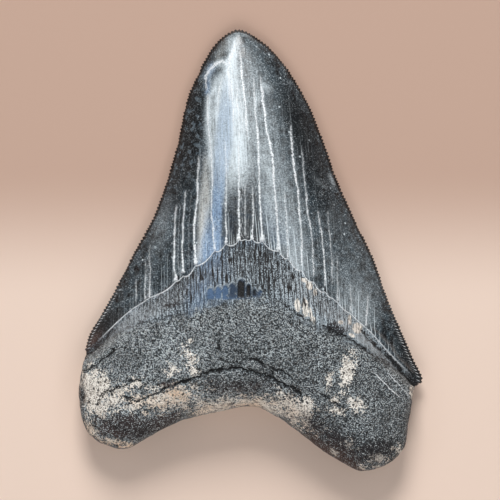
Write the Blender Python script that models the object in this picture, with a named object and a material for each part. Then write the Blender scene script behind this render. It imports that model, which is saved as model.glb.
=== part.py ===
"""Fossil megalodon tooth, lying on its flatter labial face with the arched lingual face up.

X runs across the tooth, +Y points to the tip and +Z is up. Crown, neck band and root grew as one
piece, so the tooth is one closed solid: a sphere whose equator is drawn out to the tooth's
outline and whose two halves are shaped into its two faces. Lengths are in millimetres until the
mesh is written.
"""

import math

import bmesh
import bpy
import numpy as np

MM = 0.001
NAME = "tooth"

# Heights above the table, on the two faces and on the outline between them.
EDGE_HEIGHT = 3.0
CORNER_LIFT = 1.6
CROWN_RISE = 16.0
ROOT_HEIGHT = 25.0
ROOT_EDGE_HEIGHT = 8.5
LOBE_DROP = 8.5
LOBE_LIFT = 2.5

# Shape of the sections.
CROWN_ARCH = 2.2
CROWN_TAPER = 0.6
LINGUAL_ROUND = 18.0
LABIAL_ROUND = 8.0
FLAT_SHARE = 0.5
TIP_LIFT_FROM = 45.0

# The neck band between enamel and root: its height up the tooth at the middle and at the corners.
NECK_MIDDLE = 15.0
NECK_CORNER = 3.6
NECK_SPREAD = 20.0

# Outline seen from above, about the middle of its box, anticlockwise.
CUTTING_EDGE = (
    (48.2, -38.0), (48.4, -36.0), (46.8, -31.6), (44.2, -25.4), (39.3, -14.0), (35.3, -2.6),
    (29.9, 8.8), (24.8, 20.2), (20.8, 31.6), (16.0, 43.0), (8.8, 54.4), (2.6, 60.1),
    (-3.4, 62.8), (-8.6, 60.1), (-12.8, 54.4), (-18.0, 43.0), (-20.5, 31.6), (-23.7, 20.2),
    (-27.9, 8.8), (-34.2, -2.6), (-39.9, -14.0), (-45.0, -22.5), (-46.4, -28.8),
)
ROOT_EDGE = (
    (-46.4, -28.8), (-48.1, -35.3), (-48.4, -42.5), (-46.8, -50.4), (-42.8, -54.4),
    (-35.8, -56.6), (-29.5, -53.6), (-20.0, -48.8), (-8.6, -45.7), (0.0, -44.3),
    (5.7, -46.2), (14.3, -51.9), (24.0, -59.0), (31.4, -62.9), (38.6, -61.2),
    (43.6, -55.9), (45.9, -45.3), (46.7, -39.8), (48.2, -38.0),
)
CENTRE = (-0.6, -14.0)
TIP_Y = 62.8

# Where the enamel ends on the lingual face: x, y from the left corner to the right one.
ENAMEL_END = (
    (-46.4, -28.8), (-34.2, -17.4), (-23.4, -10.3), (-11.4, -1.1), (-3.5, 2.6),
    (3.0, 2.4), (10.0, -1.7), (20.0, -10.8), (31.4, -20.8), (40.7, -30.8), (48.2, -38.0),
)
LABIAL_END_Y = -20.0
LABIAL_END_SAG = 13.6
LABIAL_END_TILT = 4.9
HALF_WIDTH = 47.0

COLUMNS = 160
ROWS = 30
ENAMEL = (0.052, 0.062, 0.072, 1.0)
ROOT = (0.105, 0.122, 0.120, 1.0)


def clear_scene():
    for obj in list(bpy.data.objects):
        bpy.data.objects.remove(obj, do_unlink=True)


def smoothstep(value):
    share = np.clip(value, 0.0, 1.0)
    return share * share * (3.0 - 2.0 * share)


def spline(points, per_span=12):
    """Catmull-Rom curve through the points, with its ends held."""
    knots = np.array(points)
    knots = np.vstack([2.0 * knots[0] - knots[1], knots, 2.0 * knots[-1] - knots[-2]])
    share = np.linspace(0.0, 1.0, per_span, endpoint=False)[:, None]
    spans = []
    for before, start, end, after in zip(knots, knots[1:], knots[2:], knots[3:]):
        spans.append(0.5 * (
            2.0 * start
            + (end - before) * share
            + (2.0 * before - 5.0 * start + 4.0 * end - after) * share ** 2
            + (3.0 * (start - end) + after - before) * share ** 3
        ))
    return np.vstack(spans + [knots[-2:-1]])


def outline_at(outline, share):
    """Points at these shares of the way round the closed outline."""
    steps = np.hypot(*np.diff(outline, axis=0).T)
    length = np.concatenate([[0.0], np.cumsum(steps)])
    place = share * length[-1]
    return np.column_stack([np.interp(place, length, axis) for axis in outline.T])


def inset(points, outline):
    """Distance of each point from the outline."""
    start, run = outline[:-1], np.diff(outline, axis=0)
    to_point = points[:, None] - start[None]
    share = np.clip((to_point * run).sum(2) / (run * run).sum(1), 0.0, 1.0)
    return np.linalg.norm(to_point - share[..., None] * run, axis=2).min(1)


def across(points):
    """Signed share of the way from the crown's middle line to its cutting edge."""
    edge = spline(CUTTING_EDGE)
    tip = edge[:, 1].argmax()
    right = np.interp(points[:, 1], edge[:tip + 1, 1], edge[:tip + 1, 0])
    left = np.interp(points[:, 1], edge[:tip - 1:-1, 1], edge[:tip - 1:-1, 0])
    half = np.maximum(0.5 * (right - left), 0.05)
    return np.clip((points[:, 0] - 0.5 * (right + left)) / half, -1.0, 1.0)


def quarter_round(depth, radius):
    return np.sqrt(1.0 - (1.0 - np.clip(depth / radius, 0.0, 1.0)) ** 2)


def neck_height(x):
    return NECK_CORNER + (NECK_MIDDLE - NECK_CORNER) / (1.0 + (x / NECK_SPREAD) ** 2) ** 1.2


def cutting_height(y):
    return EDGE_HEIGHT + CORNER_LIFT * smoothstep((TIP_Y - y) / 100.0)


def lingual_face(points, depth):
    """Upper face: an arched crown that swells into the thick root below the neck."""
    x, y = points.T
    edge = cutting_height(y)
    below_tip = np.clip((TIP_Y - y) / (TIP_Y - CENTRE[1]), 0.0, 1.0)
    arch = 1.0 - np.abs(across(points)) ** CROWN_ARCH
    crown = edge + CROWN_RISE * below_tip ** CROWN_TAPER * arch
    top = ROOT_HEIGHT - LOBE_DROP * np.abs(x / HALF_WIDTH) ** 1.8
    root = ROOT_EDGE_HEIGHT + (top - ROOT_EDGE_HEIGHT) * quarter_round(depth, LINGUAL_ROUND)
    ends = spline(ENAMEL_END)
    below = np.interp(x, ends[:, 0], ends[:, 1]) - y
    return crown + (root - crown) * smoothstep(below / neck_height(x))


def labial_face(points, depth):
    """Lower face: flat over the middle, lifting to the cutting edges and under the lobes."""
    x, y = points.T
    to_side = np.clip((np.abs(across(points)) - FLAT_SHARE) / (1.0 - FLAT_SHARE), 0.0, 1.0)
    to_tip = np.clip((y - TIP_LIFT_FROM) / (TIP_Y - TIP_LIFT_FROM), 0.0, 1.0)
    crown = cutting_height(y) * (1.0 - (1.0 - to_side ** 2) * (1.0 - to_tip ** 2.5))
    lobes = LOBE_LIFT * smoothstep((CENTRE[1] - 30.0 - y) / 18.0)
    root = lobes + (ROOT_EDGE_HEIGHT - lobes) * (1.0 - quarter_round(depth, LABIAL_ROUND))
    share = x / HALF_WIDTH
    below = LABIAL_END_Y - LABIAL_END_SAG * share ** 2 - LABIAL_END_TILT * share - y
    return crown + (root - crown) * smoothstep(below / neck_height(HALF_WIDTH))


def material(name, colour, roughness):
    made = bpy.data.materials.new(name)
    made.use_nodes = True
    made.diffuse_color = colour
    shader = made.node_tree.nodes["Principled BSDF"]
    shader.inputs["Base Color"].default_value = colour
    shader.inputs["Roughness"].default_value = roughness
    shader.inputs["Metallic"].default_value = 0.0
    return made


def tooth_mesh():
    sphere = bmesh.new()
    bmesh.ops.create_uvsphere(sphere, u_segments=COLUMNS, v_segments=ROWS, radius=1.0)
    ball = np.array([vert.co for vert in sphere.verts])
    turn = np.arctan2(ball[:, 1], ball[:, 0]) / math.tau % 1.0
    outline = np.vstack([spline(CUTTING_EDGE), spline(ROOT_EDGE)[1:]])
    centre = np.array(CENTRE)
    reach = np.hypot(ball[:, 0], ball[:, 1])[:, None]
    points = centre + reach * (outline_at(outline, turn) - centre)
    depth = np.where(reach[:, 0] > 0.9999, 0.0, inset(points, outline))
    upper = lingual_face(points, depth)
    lower = np.maximum(labial_face(points, depth), 0.0)
    height = np.where(ball[:, 2] > -1e-4, upper, lower)
    solid = np.column_stack([points, height])
    low, high = solid.min(0), solid.max(0)
    solid -= [0.5 * (low[0] + high[0]), 0.5 * (low[1] + high[1]), low[2]]
    for vert, place in zip(sphere.verts, solid):
        vert.co = place * MM
    mesh = bpy.data.meshes.new(NAME)
    sphere.to_mesh(mesh)
    sphere.free()
    return mesh


def add_tooth(collection):
    mesh = tooth_mesh()
    mesh.materials.append(material("enamel", ENAMEL, 0.25))
    mesh.materials.append(material("root", ROOT, 0.85))
    ends = spline(ENAMEL_END) * MM
    for face in mesh.polygons:
        x, y, z = face.center
        lingual = np.interp(x, ends[:, 0], ends[:, 1])
        border = lingual if face.normal.z > 0.0 else LABIAL_END_Y * MM
        face.material_index = 1 if y < border else 0
    mesh.shade_smooth()
    tooth = bpy.data.objects.new(NAME, mesh)
    collection.objects.link(tooth)


def main():
    clear_scene()
    collection = bpy.data.collections.new("megalodon_tooth")
    bpy.context.scene.collection.children.link(collection)
    add_tooth(collection)


if __name__ == "__main__":
    main()
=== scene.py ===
"""Looks of the fossil tooth: one closed surface of the whole tooth, its floor, lights and camera.

The surface is a fan of rings round a point inside the neck. Each ring is the outline shrunk
towards that point, once over the lingual face and once over the labial one, and both share the
outline itself. Lengths are in millimetres until a mesh or a light is made.
"""

import math

import bpy
import numpy as np
from bpy.props import FloatProperty, FloatVectorProperty, PointerProperty
from mathutils import Matrix, Vector


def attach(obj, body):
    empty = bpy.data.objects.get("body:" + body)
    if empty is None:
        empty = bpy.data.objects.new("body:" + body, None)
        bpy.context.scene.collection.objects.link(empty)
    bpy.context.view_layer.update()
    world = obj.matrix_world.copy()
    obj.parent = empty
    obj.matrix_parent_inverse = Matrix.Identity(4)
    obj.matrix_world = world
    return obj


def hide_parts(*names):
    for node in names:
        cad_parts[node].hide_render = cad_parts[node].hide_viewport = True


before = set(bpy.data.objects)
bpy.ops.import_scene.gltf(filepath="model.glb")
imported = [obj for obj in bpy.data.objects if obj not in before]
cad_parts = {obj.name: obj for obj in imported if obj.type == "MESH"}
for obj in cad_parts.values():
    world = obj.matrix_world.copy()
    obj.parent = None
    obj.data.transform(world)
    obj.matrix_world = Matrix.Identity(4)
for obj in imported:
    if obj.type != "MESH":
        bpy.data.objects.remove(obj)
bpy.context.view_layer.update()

bl_info = {
    "name": "Fossil Shark Tooth",
    "version": (1, 0, 0),
    "blender": (4, 5, 0),
    "location": "View3D > Sidebar > Tooth",
    "description": "Builds a fossil shark tooth and the stage it is shown on",
    "category": "Add Mesh",
}

MM = 0.001
NODE = "tooth"

# Heights above the table, on the two faces and on the outline between them.
EDGE_HEIGHT = 3.0
CORNER_LIFT = 1.6
CORNER_SPAN = 100.0
CROWN_RISE = 16.0
ROOT_HEIGHT = 25.0
ROOT_EDGE_HEIGHT = 8.5
LOBE_DROP = 8.5
LOBE_LIFT = 2.5
LOBE_LIFT_FROM, LOBE_LIFT_OVER = -44.0, 18.0

# Shape of the sections: powers, radii and where their changes begin.
CROWN_ARCH = 2.2
CROWN_TAPER = 0.6
LOBE_POWER = 1.8
LINGUAL_ROUND = 18.0
LABIAL_ROUND = 8.0
FLAT_SHARE = 0.5
TIP_LIFT_FROM, TIP_LIFT_POWER = 45.0, 2.5
NECK_MIDDLE, NECK_CORNER = 15.0, 3.6
NECK_SPREAD, NECK_POWER = 20.0, 1.2
HALF_WIDTH = 47.0
LABIAL_END_Y = -20.0
LABIAL_END_SAG = 13.6
LABIAL_END_TILT = 4.9
TIP_Y = 62.8
PROFILE_FOOT = -14.0

# Outline seen from above, anticlockwise.
CUTTING_EDGE = (
    (48.2, -38.0), (48.4, -36.0), (46.8, -31.6), (44.2, -25.4), (39.3, -14.0), (35.3, -2.6),
    (29.9, 8.8), (24.8, 20.2), (20.8, 31.6), (16.0, 43.0), (8.8, 54.4), (2.6, 60.1),
    (-3.4, 62.8), (-8.6, 60.1), (-12.8, 54.4), (-18.0, 43.0), (-20.5, 31.6), (-23.7, 20.2),
    (-27.9, 8.8), (-34.2, -2.6), (-39.9, -14.0), (-45.0, -22.5), (-46.4, -28.8),
)
ROOT_EDGE = (
    (-46.4, -28.8), (-48.1, -35.3), (-48.4, -42.5), (-46.8, -50.4), (-42.8, -54.4),
    (-35.8, -56.6), (-29.5, -53.6), (-20.0, -48.8), (-8.6, -45.7), (0.0, -44.3),
    (5.7, -46.2), (14.3, -51.9), (24.0, -59.0), (31.4, -62.9), (38.6, -61.2),
    (43.6, -55.9), (45.9, -45.3), (46.7, -39.8), (48.2, -38.0),
)
HUB = (-0.6, -8.0)
# The serrations' tips reach the outline, and their middle line lies this far inside it.
CROWN_INSET = 0.75

# Where the enamel ends on the lingual face, without its scallops.
ENAMEL_END = (
    (-46.4, -28.8), (-34.2, -17.6), (-23.4, -10.6), (-18.5, -7.0), (-11.4, -1.2),
    (-6.4, 2.0), (0.0, 3.2), (4.0, 2.4), (10.0, -1.7), (20.0, -10.8), (31.4, -20.8),
    (40.7, -30.8), (48.2, -38.0),
)
SCALLOP = 1.3

# Where the neck band ends on the lingual face, at the step down to the root.
NECK_END = (
    (-46.4, -28.9), (-39.9, -24.8), (-35.6, -22.9), (-29.9, -21.1), (-24.2, -19.4),
    (-18.5, -17.9), (-14.2, -16.0), (-8.0, -14.4), (0.0, -14.0), (6.0, -14.8), (11.4, -16.4),
    (14.2, -18.6), (20.5, -21.7), (27.1, -24.7), (31.3, -27.1), (37.0, -30.8), (41.6, -33.6),
    (48.2, -38.0),
)

# Growth cracks of the crown: half width in mm, then x, y and brightness down the crack.
STREAKS = (
    (0.12, ((-32.2, -9.0, 0.4), (-32.2, -14.0, 0.6))),
    (0.1, ((-29.4, -3.0, 0.4), (-29.5, -13.5, 0.8))),
    (0.1, ((-28.3, 0.5, 0.4), (-28.1, -13.4, 0.8))),
    (0.22, ((-20.8, 12.0, 0.4), (-21.2, 4.5, 0.8), (-21.4, -2.5, 1.0), (-20.9, -8.3, 1.0))),
    (0.21, ((-18.2, 16.0, 0.5), (-18.8, 7.5, 0.8), (-19.1, -1.0, 1.0), (-18.9, -6.0, 1.0))),
    (0.24, ((-14.4, 26.0, 0.4), (-14.8, 14.5, 0.9), (-15.7, 6.0, 1.0), (-15.4, -3.7, 1.0))),
    (0.18, ((-12.0, 45.0, 0.3), (-11.9, 40.0, 0.6), (-11.7, 34.0, 0.8), (-10.9, 28.0, 0.5))),
    (0.16, ((-10.9, 27.5, 0.5), (-10.5, 18.8, 0.8), (-10.8, 10.3, 0.7), (-10.0, 0.5, 0.7))),
    (0.16, ((-6.8, 30.0, 0.5), (-6.6, 20.5, 0.5), (-6.8, 11.7, 0.8), (-6.6, 4.6, 0.8),
            (-6.8, 2.3, 0.9))),
    (0.19, ((-3.2, 29.0, 0.6), (-3.1, 14.5, 0.8), (-3.1, 3.1, 1.0))),
    (0.21, ((-2.8, 56.0, 0.4), (-2.3, 49.0, 1.0), (-1.4, 42.0, 1.0), (-0.9, 35.5, 0.8),
            (-0.6, 30.0, 0.0), (-1.2, 19.5, 0.0), (-1.4, 17.0, 0.4), (-1.4, 4.6, 0.4))),
    (0.16, ((0.6, 17.4, 0.4), (0.9, 10.3, 0.8), (0.6, 3.1, 0.9))),
    (0.22, ((0.9, 48.5, 0.3), (1.4, 40.0, 0.7), (2.2, 31.5, 1.0), (2.4, 26.0, 0.9),
            (2.8, 14.0, 0.9), (3.4, 3.0, 1.0))),
    (0.24, ((2.9, 48.5, 0.4), (3.6, 42.0, 1.0), (4.6, 34.0, 1.0), (6.3, 26.5, 1.0),
            (6.6, 22.0, 0.9), (7.3, 13.0, 0.7), (8.1, 0.3, 0.9))),
    (0.2, ((11.4, 34.5, 0.6), (12.0, 26.0, 1.0), (13.3, 17.4, 1.0), (14.5, 3.1, 0.7),
           (14.6, -4.0, 0.9))),
    (0.15, ((14.6, 28.0, 0.3), (15.3, 19.2, 0.6), (16.2, 10.3, 0.8), (17.5, 3.0, 0.7),
            (17.9, -6.8, 0.8))),
    (0.1, ((9.7, 16.0, 0.4), (10.2, 8.0, 0.7), (10.7, -1.8, 0.8))),
    (0.17, ((19.1, 10.3, 0.5), (20.2, 4.6, 0.8), (20.9, -3.0, 0.9), (21.1, -9.7, 1.0))),
    (0.11, ((21.9, 10.3, 0.3), (23.0, -4.0, 0.5), (23.2, -9.0, 0.5))),
    (0.11, ((24.5, -2.5, 0.4), (24.8, -14.0, 0.6))),
    (0.11, ((28.4, -10.5, 0.4), (28.5, -17.0, 0.6))),
    (0.15, ((33.2, -13.5, 0.4), (32.8, -21.0, 0.9))),
    (0.12, ((-5.0, 51.0, 0.4), (-5.0, 46.0, 0.9), (-4.7, 39.0, 0.9), (-4.5, 34.0, 0.5))),
    (0.12, ((-3.7, 49.0, 0.4), (-3.6, 43.0, 0.9), (-3.2, 36.0, 0.8), (-2.9, 30.5, 0.5))),
    (0.1, ((-2.7, 45.0, 0.4), (-2.3, 40.0, 0.9), (-1.9, 34.0, 0.6))),
    (0.14, ((-7.6, 49.0, 0.3), (-8.6, 46.0, 0.8), (-9.0, 42.0, 0.6), (-8.9, 39.0, 0.3))),
    (0.46, ((-4.2, 58.5, 0.3), (-5.4, 54.5, 0.8), (-6.1, 51.0, 0.9), (-5.8, 47.0, 0.6),
            (-5.2, 43.0, 0.4))),
    (0.36, ((-12.0, 44.5, 0.2), (-12.4, 47.0, 0.5), (-12.5, 48.8, 0.6), (-11.3, 51.0, 0.7),
            (-9.5, 52.8, 0.8), (-7.7, 53.5, 0.7), (-6.4, 52.4, 0.6))),
)
# Cracks that end higher than this do not reach the enamel's end.
FOOT_Y = 10.0

# Bands of each tone down the crown and over the neck: the power that makes their edges soft or
# crisp, then y, x, half width and strength. The pale, blue and cream bands are partly the enamel's
# own colour and partly a painted reflection of the soft lights; the last pale band, low on the
# right, is a painted highlight.
BANDS = {
    "pale": (
        (4, ((58.0, -3.8, 0.9, 0.5), (54.0, -5.2, 1.7, 0.85), (50.0, -6.0, 3.2, 0.78),
             (46.0, -6.9, 4.6, 0.76), (40.0, -6.4, 5.6, 0.76), (30.0, -5.9, 6.0, 0.76),
             (25.0, -5.6, 6.0, 0.78), (20.0, -5.0, 5.8, 0.56), (13.0, -5.0, 5.5, 0.15))),
        (3, ((57.0, -4.4, 0.7, 0.6), (51.0, -5.8, 0.8, 0.95), (45.0, -5.4, 1.2, 0.8),
             (37.0, -3.6, 1.8, 0.75), (28.0, -3.2, 2.2, 0.7), (19.0, -3.2, 1.8, 0.2))),
        (2, ((41.0, -11.3, 0.9, 0.3), (34.0, -11.6, 1.0, 0.5), (29.0, -11.0, 0.9, 0.5),
             (20.0, -10.7, 0.7, 0.35))),
        (2, ((57.0, 0.0, 3.0, 0.12), (46.0, 1.0, 5.0, 0.28), (36.0, 2.8, 6.0, 0.3),
             (26.0, 4.5, 6.5, 0.26), (16.0, 6.0, 6.0, 0.18), (6.0, 7.0, 5.0, 0.12))),
        (3, ((30.0, 4.0, 1.6, 0.2), (24.0, 4.6, 1.8, 0.34), (14.0, 5.2, 1.8, 0.3),
             (5.0, 5.4, 1.6, 0.28))),
        (2, ((24.0, 8.5, 2.6, 0.12), (12.0, 10.2, 3.6, 0.28), (2.0, 12.0, 4.0, 0.42),
             (-6.0, 13.8, 3.6, 0.44))),
        (2, ((14.0, -23.5, 1.6, 0.1), (6.0, -25.0, 2.4, 0.16), (-2.0, -26.0, 2.0, 0.06))),
        (2, ((10.0, 23.0, 6.0, 0.05), (0.0, 27.0, 7.0, 0.08), (-8.0, 29.0, 7.0, 0.16),
             (-15.0, 30.0, 5.0, 0.38), (-20.0, 31.5, 3.6, 0.42))),
    ),
    "blue": (
        (5, ((46.0, -6.4, 1.4, 0.2), (40.0, -6.7, 2.1, 0.42), (30.0, -7.4, 2.6, 0.42),
             (20.0, -8.6, 2.0, 0.52), (12.0, -9.3, 1.6, 0.85), (-1.0, -9.8, 1.5, 0.95))),
        (3, ((10.0, -12.0, 0.9, 0.2), (3.0, -12.2, 1.3, 0.75), (-4.0, -12.8, 1.7, 0.75))),
        (3, ((2.0, -10.5, 4.0, 0.35), (-8.0, -10.5, 5.2, 0.45), (-14.0, -11.0, 5.0, 0.45))),
        (3, ((-11.0, -14.5, 3.4, 0.5), (-17.0, -15.0, 3.4, 0.5))),
        (2, ((18.0, 0.0, 5.0, 0.0), (10.0, 0.0, 6.5, 0.18), (3.0, 2.0, 9.0, 0.22))),
    ),
    "cream": (
        (3, ((24.0, -12.2, 1.1, 0.35), (15.0, -12.6, 1.5, 0.75), (5.0, -13.3, 1.3, 0.95),
             (-2.0, -14.0, 1.0, 0.9))),
    ),
    "dark": (
        (3, ((24.0, -1.5, 4.0, 0.0), (14.0, -1.5, 5.4, 0.72), (3.0, -1.0, 7.0, 0.95))),
        (8, ((50.0, -13.2, 2.0, 0.4), (44.0, -14.8, 2.3, 0.7), (38.0, -16.5, 3.6, 0.8),
             (28.0, -18.0, 4.8, 0.85), (20.0, -19.5, 5.0, 0.6), (12.0, -23.0, 4.5, 0.4))),
        (3, ((48.0, 9.0, 2.4, 0.3), (38.0, 13.0, 4.2, 0.85), (26.0, 17.0, 4.6, 0.75),
             (16.0, 20.0, 4.0, 0.5), (4.0, 25.0, 4.0, 0.25))),
        (3, ((-19.0, -37.5, 3.0, 0.3), (-22.0, -40.5, 4.5, 0.9), (-27.0, -43.5, 4.0, 1.0))),
        (3, ((-22.0, 42.0, 2.5, 0.4), (-28.0, 44.5, 3.0, 0.7), (-34.0, 46.5, 3.0, 0.9))),
    ),
}

# Marks of the same tones near the tip and at the two corners: half width, strength, then the
# line they follow.
SCARS = {
    "pale": (
        (1.0, 0.6, ((-12.4, 48.0), (-11.2, 51.0), (-9.5, 52.7), (-7.7, 53.2))),
        (1.2, 0.3, ((-4.0, 62.0), (0.0, 61.0))),
        (1.1, 0.6, ((-5.8, 56.8), (-5.0, 59.6))),
        (0.5, 0.6, ((-11.9, 37.0), (-11.7, 41.0), (-11.0, 44.0), (-9.5, 46.0))),
        (0.5, 0.6, ((-9.3, 38.0), (-9.1, 42.5), (-8.3, 45.6), (-6.8, 46.8))),
        (1.0, 0.5, ((3.6, 46.4), (5.0, 45.6))),
        (0.9, 0.35, ((1.2, 40.6), (2.6, 43.6))),
        (0.4, 0.6, ((9.2, 52.8), (10.4, 51.3))),
        (0.5, 0.3, ((18.0, 20.6), (19.4, 19.0), (21.4, 17.6))),
        (0.5, 0.4, ((22.4, 21.0), (23.6, 18.6))),
    ),
    "blue": (
        (1.0, 0.6, ((-12.2, 45.0), (-12.2, 49.0), (-10.6, 51.8))),
    ),
    "dark": (
        # The two at the blade's corners are painted shade, where the root stands over the enamel.
        (3.2, 1.0, ((-45.4, -27.0), (-39.5, -20.4))),
        (1.4, 1.0, ((45.4, -33.6), (47.6, -37.0))),
        (1.3, 0.45, ((-9.4, 50.2), (-7.8, 50.6))),
    ),
    "cream": (
        (1.3, 0.28, ((-8.8, 54.9), (-6.8, 58.4))),
    ),
}

# Patches of the root and flakes of the neck, each a soft ellipse: x, y, half sizes, turn in
# degrees, strength.
PATCHES = {
    "bone": (
        (-44.0, -40.0, 3.4, 5.2, 8.0, 1.1), (-42.5, -44.6, 3.2, 2.6, 0.0, 0.95),
        (-38.6, -41.8, 4.0, 2.8, 20.0, 0.8), (-32.8, -38.4, 3.4, 1.9, 12.0, 0.65),
        (-31.0, -43.0, 4.5, 2.0, 10.0, 0.75), (-22.8, -41.8, 8.0, 2.8, 12.0, 0.95),
        (-9.1, -44.4, 7.0, 2.1, 8.0, 1.0), (-17.1, -30.4, 3.4, 1.6, -50.0, 0.8),
        (-22.2, -34.0, 1.7, 1.7, 0.0, 0.75), (-15.1, -34.2, 2.4, 1.3, -20.0, 0.7),
        (4.3, -44.2, 8.0, 2.0, -10.0, 0.95), (12.4, -45.6, 6.0, 3.0, -38.0, 0.85),
        (15.2, -44.0, 3.0, 2.2, -30.0, 0.85), (27.5, -34.2, 1.5, 4.2, -10.0, 1.15),
        (22.4, -36.5, 0.8, 3.6, 0.0, 0.62), (24.2, -42.4, 1.9, 1.1, -20.0, 0.85),
        (30.0, -43.9, 2.3, 1.5, -25.0, 0.95), (24.6, -45.6, 2.1, 1.1, -15.0, 0.8),
        (28.2, -55.2, 2.0, 1.1, -30.0, 0.72), (23.8, -57.6, 1.5, 0.8, -38.0, 0.85),
        (36.2, -58.8, 3.2, 1.2, 0.0, 0.7), (42.2, -57.0, 1.6, 1.6, -30.0, 0.65),
        (46.0, -40.4, 0.7, 1.4, 0.0, 1.1), (32.0, -61.6, 6.0, 1.0, 0.0, 0.55),
        (-37.5, -54.8, 5.5, 1.0, -14.0, 0.8), (-45.2, -51.0, 1.2, 3.2, 28.0, 0.9),
        (-16.8, -25.8, 0.6, 0.6, 0.0, 0.9),
    ),
    "flake": (
        (13.4, -15.7, 0.75, 1.7, 4.0, 1.0), (15.6, -16.3, 0.8, 2.4, 4.0, 1.0),
        (17.1, -18.2, 0.4, 1.7, 4.0, 1.0), (18.0, -20.0, 0.4, 1.1, 4.0, 1.0),
        (15.4, -8.6, 1.2, 0.6, -20.0, 0.9), (16.8, -10.0, 1.0, 1.3, 0.0, 0.9),
        (18.4, -12.0, 0.5, 1.1, 0.0, 0.9), (25.6, -20.5, 0.7, 0.6, 0.0, 0.9),
        (28.2, -19.9, 0.5, 1.3, 0.0, 1.0), (30.4, -22.2, 1.25, 1.25, 0.0, 1.1),
        (28.8, -24.1, 0.9, 0.4, -25.0, 1.0),
    ),
    # Dark stains; the two at the blade corners, at (-43.6, -26.0) and (46.6, -36.8), are painted
    # shade under the corners.
    "soot": (
        (-36.0, -49.8, 5.2, 2.4, 4.0, 1.1), (-42.6, -48.2, 1.4, 1.2, 0.0, 0.95),
        (-26.5, -49.4, 6.5, 1.5, 25.0, 1.0), (-23.2, -38.2, 2.0, 1.0, 0.0, 0.85),
        (-47.6, -40.8, 0.9, 3.4, 0.0, 0.9), (-5.7, -38.5, 13.0, 3.0, 0.0, 0.55),
        (12.0, -41.0, 8.0, 2.2, -25.0, 0.45), (18.0, -49.0, 5.0, 2.6, -38.0, 0.75),
        (26.5, -55.5, 7.5, 3.4, -38.0, 0.75), (35.0, -57.0, 6.0, 3.0, 0.0, 0.8),
        (19.5, -55.4, 5.0, 1.6, -38.0, 1.0), (27.5, -60.4, 4.5, 1.6, -32.0, 1.0),
        (23.6, -22.0, 1.4, 1.0, -15.0, 1.3), (25.4, -22.8, 1.0, 0.8, 0.0, 1.2),
        (-22.4, -15.6, 2.6, 0.9, 6.0, 0.62), (-43.6, -26.0, 4.6, 1.5, 46.0, 1.2),
        (46.6, -36.8, 1.7, 0.8, -48.0, 1.3),
    ),
    "warm": (
        (-22.5, -42.0, 5.5, 3.0, 10.0, 1.1), (-18.0, -44.5, 16.0, 3.0, 10.0, 0.6),
        (-34.5, -42.0, 2.4, 2.0, 0.0, 0.7), (2.0, -45.0, 9.0, 2.4, 0.0, 0.8),
        (-40.0, -54.0, 8.0, 2.4, -20.0, 1.0), (-44.6, -26.4, 2.6, 1.1, 50.0, 1.0),
        (24.0, -58.0, 9.0, 2.0, -36.0, 0.9),
    ),
}

# Lines of the root and neck: half width in mm, depth share (below 0 a pale ridge), then points.
LINES = (
    (0.24, 0.8, ((-34.8, -43.6), (-31.6, -42.5), (-28.8, -41.5), (-25.6, -40.2), (-23.4, -38.8),
                 (-21.4, -38.5))),
    (0.38, 1.0, ((-21.4, -38.5), (-19.9, -37.6), (-17.1, -37.0), (-14.2, -35.6), (-11.4, -34.3),
                 (-8.0, -33.9), (-5.1, -33.3), (-2.8, -33.5), (0.0, -34.2), (2.3, -35.1),
                 (4.6, -35.6), (6.6, -36.2), (7.7, -37.3), (10.0, -38.5), (12.5, -39.0),
                 (14.2, -40.8))),
    (0.28, 0.9, ((-3.7, -28.2), (-2.0, -29.6), (0.0, -30.5), (1.7, -31.1), (3.4, -32.2),
                 (5.1, -33.1), (7.1, -33.6), (9.1, -34.2), (11.1, -35.6))),
    (0.22, 0.7, ((4.6, -32.4), (6.0, -34.2), (6.6, -35.8))),
    (0.24, 0.8, ((-47.3, -34.2), (-44.2, -33.1), (-41.9, -31.1), (-39.9, -29.9), (-37.9, -27.6))),
    (0.24, 0.8, ((-43.0, -43.6), (-42.2, -41.6), (-40.8, -39.9), (-39.3, -39.9), (-37.0, -38.8),
                 (-35.1, -37.6), (-32.8, -37.0), (-31.1, -36.8))),
    (0.2, 0.6, ((-31.1, -39.0), (-29.4, -37.6), (-26.5, -36.2))),
    (0.22, 0.6, ((-8.5, -30.8), (-6.3, -31.6), (-5.1, -32.2), (-3.4, -31.6), (-1.7, -30.8))),
    (0.32, 0.8, ((-8.8, -25.6), (-8.6, -26.8), (-8.8, -27.8))),
    (0.22, 0.6, ((-35.6, -41.6), (-32.8, -43.0))),
    (0.24, 0.8, ((20.5, -41.0), (22.8, -42.5), (25.9, -44.5))),
    (0.22, 0.5, ((-12.0, -28.8), (-11.4, -30.5), (-10.3, -32.8))),
    (0.13, -0.55, ((35.6, -35.4), (37.9, -37.6), (39.3, -39.3), (41.9, -41.6))),
    (0.11, -0.45, ((39.2, -35.2), (40.8, -36.8), (42.7, -39.0), (45.0, -41.6))),
    (0.34, 1.0, ((31.9, -22.8), (34.2, -25.6), (37.0, -28.2), (39.9, -30.8), (42.7, -33.3),
                 (44.7, -36.2), (47.0, -38.5))),
    (0.26, 0.7, ((20.5, -21.7), (22.8, -22.5), (24.8, -23.7), (27.1, -24.5), (29.1, -25.6),
                 (31.3, -27.1), (34.2, -29.1), (37.0, -30.8), (39.3, -32.2), (41.6, -33.6))),
    (0.24, 0.6, ((9.7, -15.4), (11.4, -16.4), (12.8, -18.0), (14.2, -18.8), (17.0, -20.2))),
    (0.24, 0.45, ((-39.0, -23.8), (-35.6, -22.0), (-32.0, -21.0), (-27.0, -19.8), (-22.0, -18.8),
                  (-17.5, -18.0))),
)

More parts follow.
